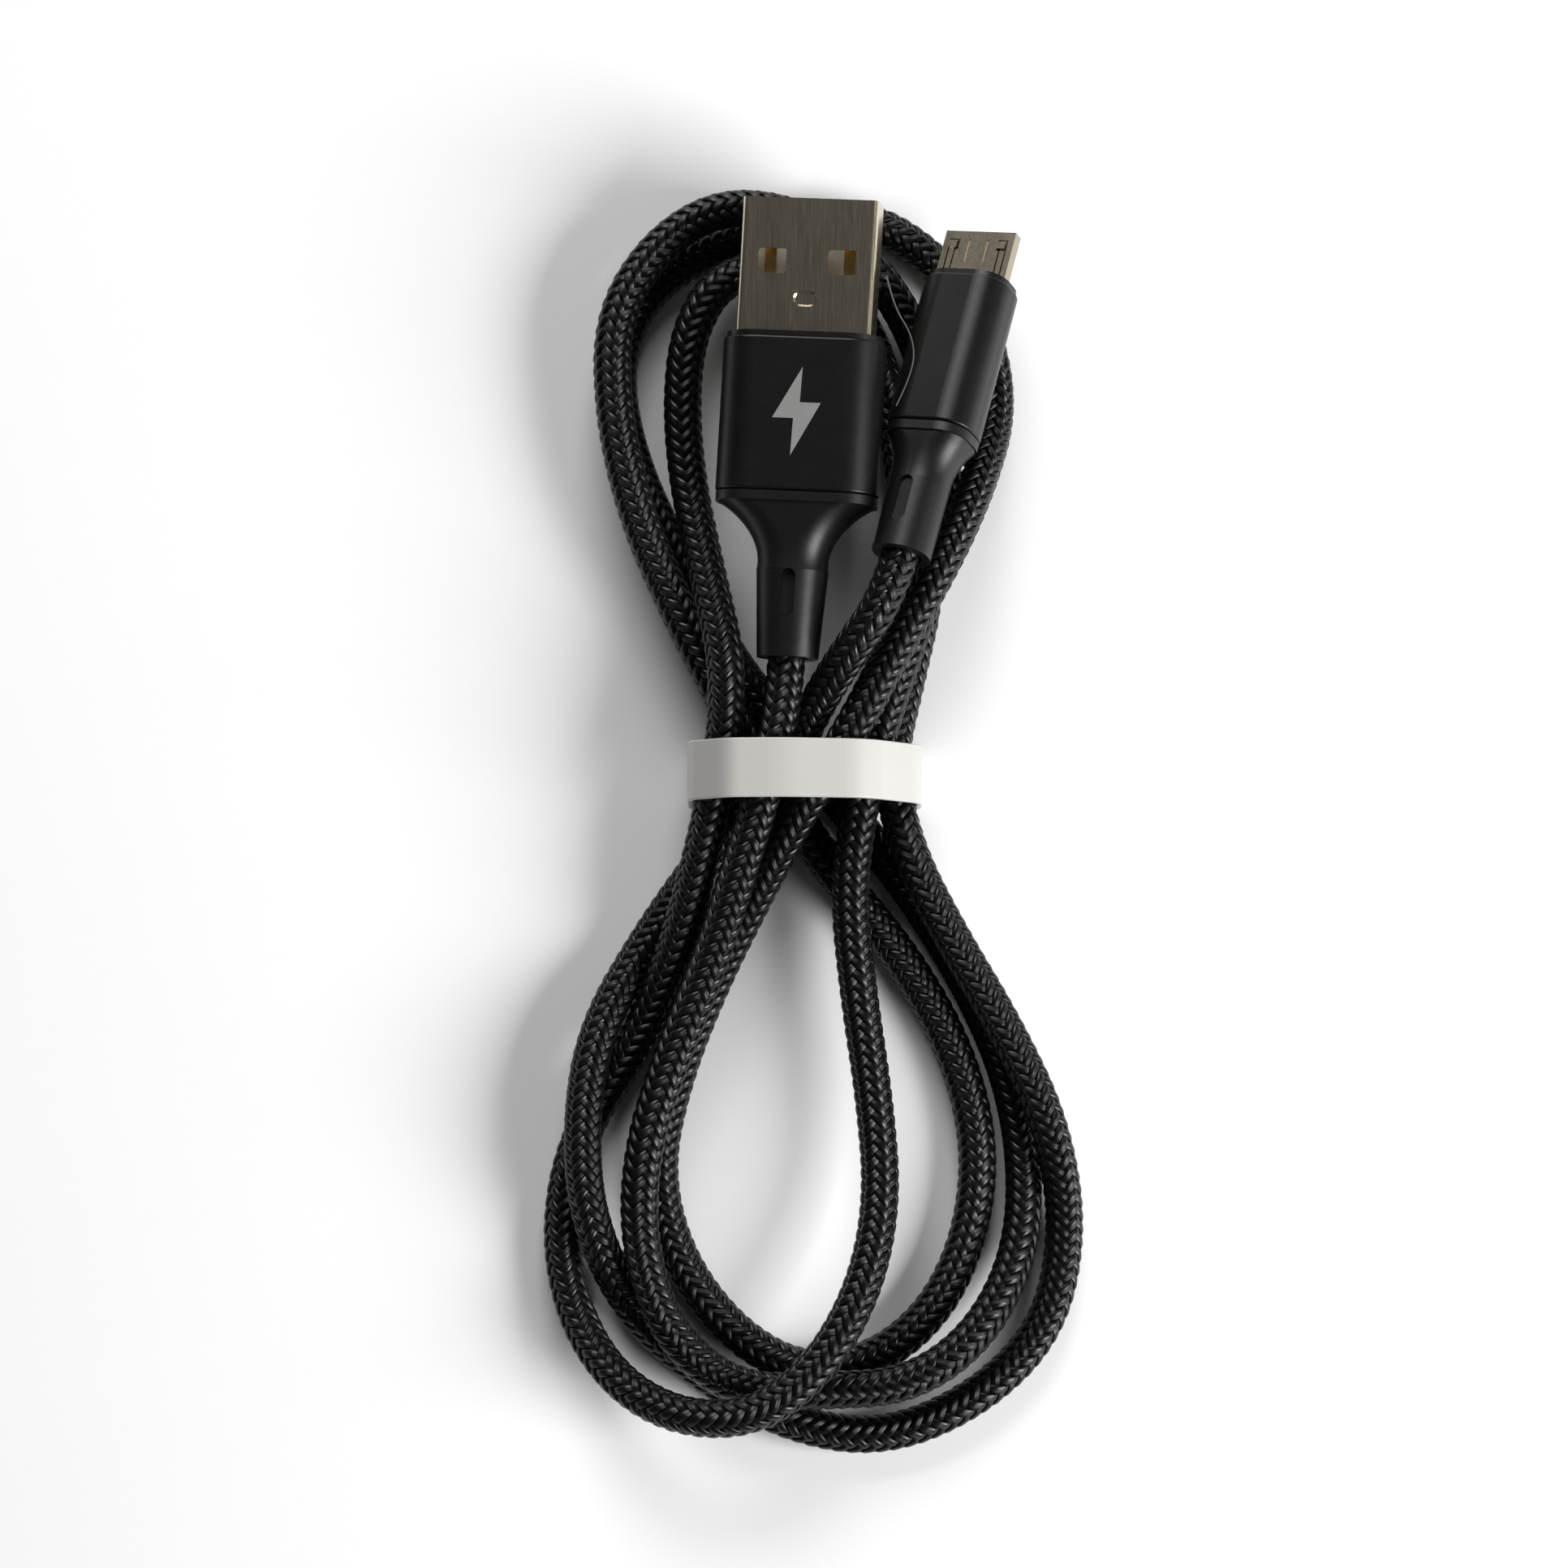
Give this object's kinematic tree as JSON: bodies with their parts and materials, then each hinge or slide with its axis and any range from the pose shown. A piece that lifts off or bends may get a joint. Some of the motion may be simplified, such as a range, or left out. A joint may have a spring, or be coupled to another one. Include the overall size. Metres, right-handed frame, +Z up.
{
  "type": "charging cable",
  "caption": "Braided charging cable with a USB-A plug and a micro-USB plug, wound into a loose hank and held by a flat tie band.",
  "frame": {"origin": "centre of the hank's box on the surface it lies on", "axes": "+Y along the hank towards the plugs' noses, +X to the right seen from above, +Z up"},
  "size_m": [0.0475, 0.1117, 0.0155],
  "materials": {
    "braid": "black braided nylon over a soft jacket",
    "band": "white, satin, slightly translucent",
    "sleeve": "black anodised, fine satin",
    "boot": "black soft-touch",
    "bezel": "black satin",
    "shell": "nickel-plated steel, drawn",
    "latch": "spring steel",
    "white_plastic": "moulded insulator",
    "dark_plastic": "moulded insulator",
    "gilt": "gold-plated",
    "solder": "tin solder",
    "mould": "inner moulding, hidden",
    "jacket": "inner jacket",
    "wire_red": "red insulation",
    "wire_white": "white insulation",
    "wire_green": "green insulation",
    "wire_black": "black insulation"
  },
  "bodies": {
    "root": {"braided_cord": "braid", "tie_band": "band", "usb_a_boot": "boot", "usb_a_sleeve": "sleeve", "usb_a_bezel": "bezel", "usb_a_shell": "shell", "usb_a_tongue": "white_plastic", "usb_a_contacts": "gilt", "usb_a_rear_block": "white_plastic", "usb_a_solder_joints": "solder", "usb_a_inner_mould": "mould", "usb_a_jacket_end": "jacket", "usb_a_crimp_clamp": "shell", "usb_a_wire_red": "wire_red", "usb_a_wire_white": "wire_white", "usb_a_wire_green": "wire_green", "usb_a_wire_black": "wire_black", "micro_boot": "boot", "micro_sleeve": "sleeve", "micro_bezel": "bezel", "micro_shell": "shell", "micro_tongue": "dark_plastic", "micro_contacts": "gilt", "micro_rear_block": "dark_plastic", "micro_solder_joints": "solder", "micro_inner_mould": "mould", "micro_jacket_end": "jacket", "micro_crimp_clamp": "shell", "micro_wire_red": "wire_red", "micro_wire_white": "wire_white", "micro_wire_green": "wire_green", "micro_wire_black": "wire_black"},
    "latch_left": {"micro_latch_left": "latch"},
    "latch_right": {"micro_latch_right": "latch"}
  },
  "joints": [
    {"name": "latch_left_press", "type": "hinge", "parent": "root", "child": "latch_left", "pos_m": [0.01192, 0.04807, 0.00627], "axis": [-0.8817, 0.1173, -0.4571], "range_deg": [0, 7], "stiffness_Nm_per_rad": 0.12},
    {"name": "latch_right_press", "type": "hinge", "parent": "root", "child": "latch_right", "pos_m": [0.01633, 0.04749, 0.00855], "axis": [-0.8817, 0.1173, -0.4571], "range_deg": [0, 7], "stiffness_Nm_per_rad": 0.12}
  ]
}
